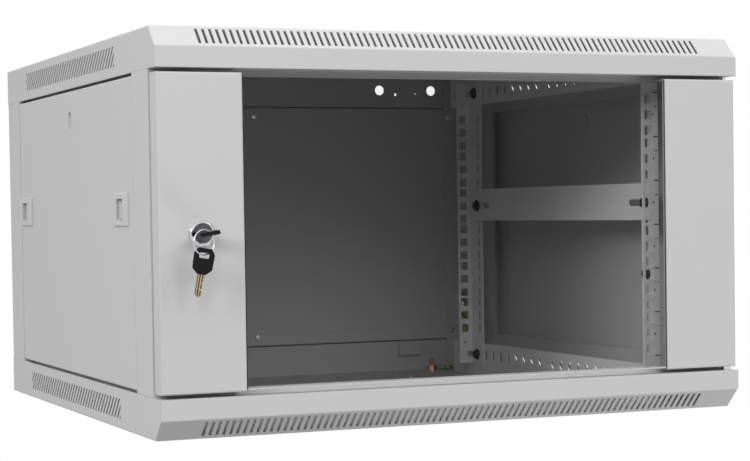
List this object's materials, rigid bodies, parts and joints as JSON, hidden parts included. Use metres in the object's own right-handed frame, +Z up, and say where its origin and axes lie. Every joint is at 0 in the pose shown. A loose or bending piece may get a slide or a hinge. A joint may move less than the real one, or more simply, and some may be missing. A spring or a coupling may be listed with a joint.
{
  "type": "wall mount network cabinet",
  "caption": "Shallow wall mount network cabinet with a smoked glass door, cam lock, lift-off side panels, vent slots and square-hole mounting rails for rack equipment.",
  "frame": {"origin": "middle of the base, under the bottom cover, between the side faces and between the front fascia and the wall face", "axes": "+Z up, +Y from the door to the wall, +X to the right as seen from the front"},
  "size_m": [0.603, 0.6315, 0.37],
  "materials": {
    "paint": "light grey satin powder coat",
    "rail_paint": "light grey satin powder coat",
    "smoked_glass": "smoked toughened glass",
    "black_screws": "black zinc",
    "zinc": "bright zinc plate",
    "copper": "plain copper",
    "key_metal": "worn nickel over brass",
    "key_plastic": "black moulded plastic",
    "chrome": "bright chrome plate",
    "lock_face": "dark satin metal",
    "latch_plastic": "light grey moulded plastic",
    "lead_sheath": "green and yellow cable sheath"
  },
  "bodies": {
    "cabinet": {"top_cover": "paint", "bottom_cover": "paint", "top_entry_plate": "paint", "bottom_entry_plate": "paint", "entry_screws": "zinc", "front_post_left": "paint", "front_post_right": "paint", "rear_post_left": "paint", "rear_post_right": "paint", "back_panel": "paint", "back_panel_screws": "zinc", "front_rail_left": "rail_paint", "front_rail_right": "rail_paint", "rear_rail_left": "rail_paint", "rear_rail_right": "rail_paint", "depth_rail_top_left": "rail_paint", "depth_rail_top_right": "rail_paint", "depth_rail_bottom_left": "rail_paint", "depth_rail_bottom_right": "rail_paint", "cross_strut_left": "rail_paint", "cross_strut_right": "rail_paint", "rail_screws": "black_screws", "rail_nuts": "zinc", "lower_hinge_pin": "zinc", "earth_studs": "copper", "earth_nuts": "copper", "ring_terminals": "zinc", "earth_lead": "lead_sheath"},
    "door": {"door_lock_strip": "paint", "door_hinge_strip": "paint", "door_glass": "smoked_glass", "glass_retainer_left": "paint", "glass_retainer_right": "paint", "lock_body": "chrome", "lock_nut": "zinc", "hinge_bolt_guide": "zinc"},
    "hinge_bolt": {"upper_hinge_bolt": "zinc"},
    "lock": {"lock_cylinder": "lock_face", "lock_cam": "zinc", "cam_screw": "zinc", "key_bow": "key_plastic", "key_blade": "key_metal"},
    "ring": {"key_ring": "chrome"},
    "spare_key": {"spare_key_bow": "key_plastic", "spare_key_blade": "key_metal"},
    "side_panel_left": {"side_panel_left": "paint", "latch_housing_left_front": "latch_plastic", "latch_housing_left_rear": "latch_plastic"},
    "latch_left_front": {"latch_slider_left_front": "latch_plastic"},
    "latch_left_rear": {"latch_slider_left_rear": "latch_plastic"},
    "side_panel_right": {"side_panel_right": "paint", "latch_housing_right_front": "latch_plastic", "latch_housing_right_rear": "latch_plastic"},
    "latch_right_front": {"latch_slider_right_front": "latch_plastic"},
    "latch_right_rear": {"latch_slider_right_rear": "latch_plastic"}
  },
  "joints": [
    {"name": "door_hinge", "type": "hinge", "parent": "cabinet", "child": "door", "pos_m": [0.292, -0.29, 0.185], "axis": [0, 0, 1], "range_deg": [0, 180]},
    {"name": "hinge_bolt_slide", "type": "slide", "parent": "door", "child": "hinge_bolt", "axis": [0, 0, -1], "range_m": [0, 0.008], "stiffness_N_per_m": 200, "springref_m": -0.005},
    {"name": "lock_turn", "type": "hinge", "parent": "door", "child": "lock", "pos_m": [-0.2593, -0.3, 0.185], "axis": [0, 1, 0], "range_deg": [0, 90]},
    {"name": "ring_swing", "type": "hinge", "parent": "lock", "child": "ring", "pos_m": [-0.26601, -0.327, 0.18406], "axis": [-0.342, 0.9397, 0], "range_deg": [-12, 12]},
    {"name": "spare_key_swing", "type": "hinge", "parent": "ring", "child": "spare_key", "pos_m": [-0.26601, -0.327, 0.16616], "axis": [0.9397, 0.342, 0], "range_deg": [-25, 20]},
    {"name": "side_panel_left_lift_off", "type": "slide", "parent": "cabinet", "child": "side_panel_left", "axis": [-1, 0, 0], "range_m": [0, 0.15]},
    {"name": "latch_left_front_slide", "type": "slide", "parent": "side_panel_left", "child": "latch_left_front", "axis": [0, -1, 0], "range_m": [0, 0.008]},
    {"name": "latch_left_rear_slide", "type": "slide", "parent": "side_panel_left", "child": "latch_left_rear", "axis": [0, 1, 0], "range_m": [0, 0.008]},
    {"name": "side_panel_right_lift_off", "type": "slide", "parent": "cabinet", "child": "side_panel_right", "axis": [1, 0, 0], "range_m": [0, 0.15]},
    {"name": "latch_right_front_slide", "type": "slide", "parent": "side_panel_right", "child": "latch_right_front", "axis": [0, -1, 0], "range_m": [0, 0.008]},
    {"name": "latch_right_rear_slide", "type": "slide", "parent": "side_panel_right", "child": "latch_right_rear", "axis": [0, 1, 0], "range_m": [0, 0.008]}
  ]
}
